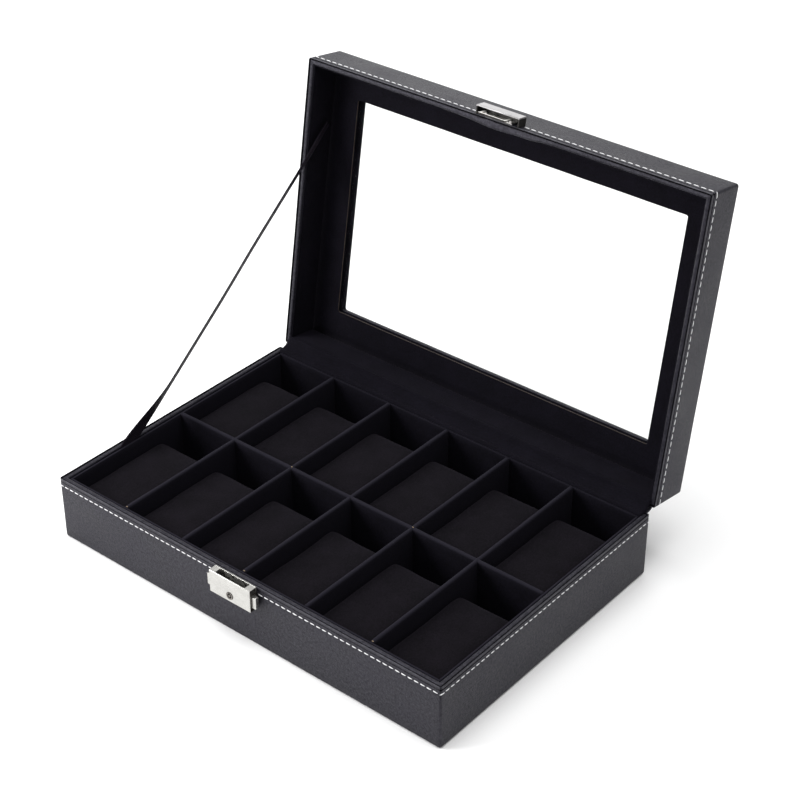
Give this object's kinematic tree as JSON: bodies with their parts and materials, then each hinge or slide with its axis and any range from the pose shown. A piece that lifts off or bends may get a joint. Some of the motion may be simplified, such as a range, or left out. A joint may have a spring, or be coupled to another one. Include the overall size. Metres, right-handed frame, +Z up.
{
  "type": "watch box",
  "caption": "Watch box with a glazed hinged lid, a lid strap, a velvet tray of compartments with lift-out watch pillows, and a key lock with side release buttons.",
  "frame": {"origin": "centre of the base's underside, on the surface it stands on", "axes": "+X along the long front, -Y towards the front with the lock, +Z up"},
  "size_m": [0.3, 0.2724, 0.249],
  "materials": {
    "outer_leather": "smooth satin grain",
    "rim_leather": "smooth satin grain",
    "fibreboard": "raw",
    "pillow_velvet": "velvet",
    "lining_velvet": "velvet",
    "flock_paper": "flocked",
    "ribbon": "woven satin",
    "glass": "clear",
    "nickel": "satin nickel plate",
    "spring_steel": "bright wire"
  },
  "bodies": {
    "base": {"underside_felt": "flock_paper", "base_leather_cover": "outer_leather", "base_rim_wrap": "rim_leather", "base_front_board": "fibreboard", "base_back_board": "fibreboard", "base_left_board": "fibreboard", "base_right_board": "fibreboard", "base_bottom_board": "fibreboard", "base_floor_lining": "lining_velvet", "base_front_lining": "lining_velvet", "base_back_lining": "lining_velvet", "base_left_lining": "lining_velvet", "base_right_lining": "lining_velvet", "long_divider": "lining_velvet", "cross_divider_1": "lining_velvet", "cross_divider_2": "lining_velvet", "cross_divider_3": "lining_velvet", "cross_divider_4": "lining_velvet", "cross_divider_5": "lining_velvet", "outer_hinge_strip": "outer_leather", "inner_hinge_strip": "lining_velvet", "restraint_strap": "ribbon", "lock_back_plate": "nickel", "lock_cover": "nickel", "lock_rivets": "nickel", "left_button_spring": "spring_steel", "right_button_spring": "spring_steel"},
    "lid": {"lid_leather_cover": "outer_leather", "lid_rim_wrap": "rim_leather", "lid_front_board": "fibreboard", "lid_back_board": "fibreboard", "lid_left_board": "fibreboard", "lid_right_board": "fibreboard", "lid_top_frame": "fibreboard", "glass_pane": "glass", "lid_lining_frame": "lining_velvet", "lid_front_lining": "lining_velvet", "lid_back_lining": "lining_velvet", "lid_left_lining": "lining_velvet", "lid_right_lining": "lining_velvet", "hasp_plate": "nickel", "hasp_loop": "nickel", "hasp_rivets": "nickel"},
    "lock_core": {"lock_core": "nickel"},
    "lock_left_button": {"lock_left_button": "nickel"},
    "lock_right_button": {"lock_right_button": "nickel"},
    "pillow_front_1": {"watch_pillow_front_1": "pillow_velvet"},
    "pillow_front_2": {"watch_pillow_front_2": "pillow_velvet"},
    "pillow_front_3": {"watch_pillow_front_3": "pillow_velvet"},
    "pillow_front_4": {"watch_pillow_front_4": "pillow_velvet"},
    "pillow_front_5": {"watch_pillow_front_5": "pillow_velvet"},
    "pillow_front_6": {"watch_pillow_front_6": "pillow_velvet"},
    "pillow_rear_1": {"watch_pillow_rear_1": "pillow_velvet"},
    "pillow_rear_2": {"watch_pillow_rear_2": "pillow_velvet"},
    "pillow_rear_3": {"watch_pillow_rear_3": "pillow_velvet"},
    "pillow_rear_4": {"watch_pillow_rear_4": "pillow_velvet"},
    "pillow_rear_5": {"watch_pillow_rear_5": "pillow_velvet"},
    "pillow_rear_6": {"watch_pillow_rear_6": "pillow_velvet"}
  },
  "joints": [
    {"name": "lid_hinge", "type": "hinge", "parent": "base", "child": "lid", "pos_m": [0, 0.1029, 0.0431], "axis": [-1, 0, 0], "range_deg": [-99.2, 0], "deforming": ["outer_hinge_strip", "inner_hinge_strip", "restraint_strap"]},
    {"name": "lock_core_turn", "type": "hinge", "parent": "base", "child": "lock_core", "pos_m": [0, -0.1063, 0.0331], "axis": [0, -1, 0], "range_deg": [0, 90]},
    {"name": "left_button_press", "type": "slide", "parent": "base", "child": "lock_left_button", "axis": [1, 0, 0], "range_m": [0, 0.0018], "stiffness_N_per_m": 150, "springref_m": -0.001, "deforming": ["left_button_spring"]},
    {"name": "right_button_press", "type": "slide", "parent": "base", "child": "lock_right_button", "axis": [-1, 0, 0], "range_m": [0, 0.0018], "stiffness_N_per_m": 150, "springref_m": -0.001, "deforming": ["right_button_spring"]},
    {"name": "pillow_front_1_lift", "type": "slide", "parent": "base", "child": "pillow_front_1", "axis": [0, 0, 1], "range_m": [0, 0.06]},
    {"name": "pillow_front_2_lift", "type": "slide", "parent": "base", "child": "pillow_front_2", "axis": [0, 0, 1], "range_m": [0, 0.06]},
    {"name": "pillow_front_3_lift", "type": "slide", "parent": "base", "child": "pillow_front_3", "axis": [0, 0, 1], "range_m": [0, 0.06]},
    {"name": "pillow_front_4_lift", "type": "slide", "parent": "base", "child": "pillow_front_4", "axis": [0, 0, 1], "range_m": [0, 0.06]},
    {"name": "pillow_front_5_lift", "type": "slide", "parent": "base", "child": "pillow_front_5", "axis": [0, 0, 1], "range_m": [0, 0.06]},
    {"name": "pillow_front_6_lift", "type": "slide", "parent": "base", "child": "pillow_front_6", "axis": [0, 0, 1], "range_m": [0, 0.06]},
    {"name": "pillow_rear_1_lift", "type": "slide", "parent": "base", "child": "pillow_rear_1", "axis": [0, 0, 1], "range_m": [0, 0.06]},
    {"name": "pillow_rear_2_lift", "type": "slide", "parent": "base", "child": "pillow_rear_2", "axis": [0, 0, 1], "range_m": [0, 0.06]},
    {"name": "pillow_rear_3_lift", "type": "slide", "parent": "base", "child": "pillow_rear_3", "axis": [0, 0, 1], "range_m": [0, 0.06]},
    {"name": "pillow_rear_4_lift", "type": "slide", "parent": "base", "child": "pillow_rear_4", "axis": [0, 0, 1], "range_m": [0, 0.06]},
    {"name": "pillow_rear_5_lift", "type": "slide", "parent": "base", "child": "pillow_rear_5", "axis": [0, 0, 1], "range_m": [0, 0.06]},
    {"name": "pillow_rear_6_lift", "type": "slide", "parent": "base", "child": "pillow_rear_6", "axis": [0, 0, 1], "range_m": [0, 0.06]}
  ]
}
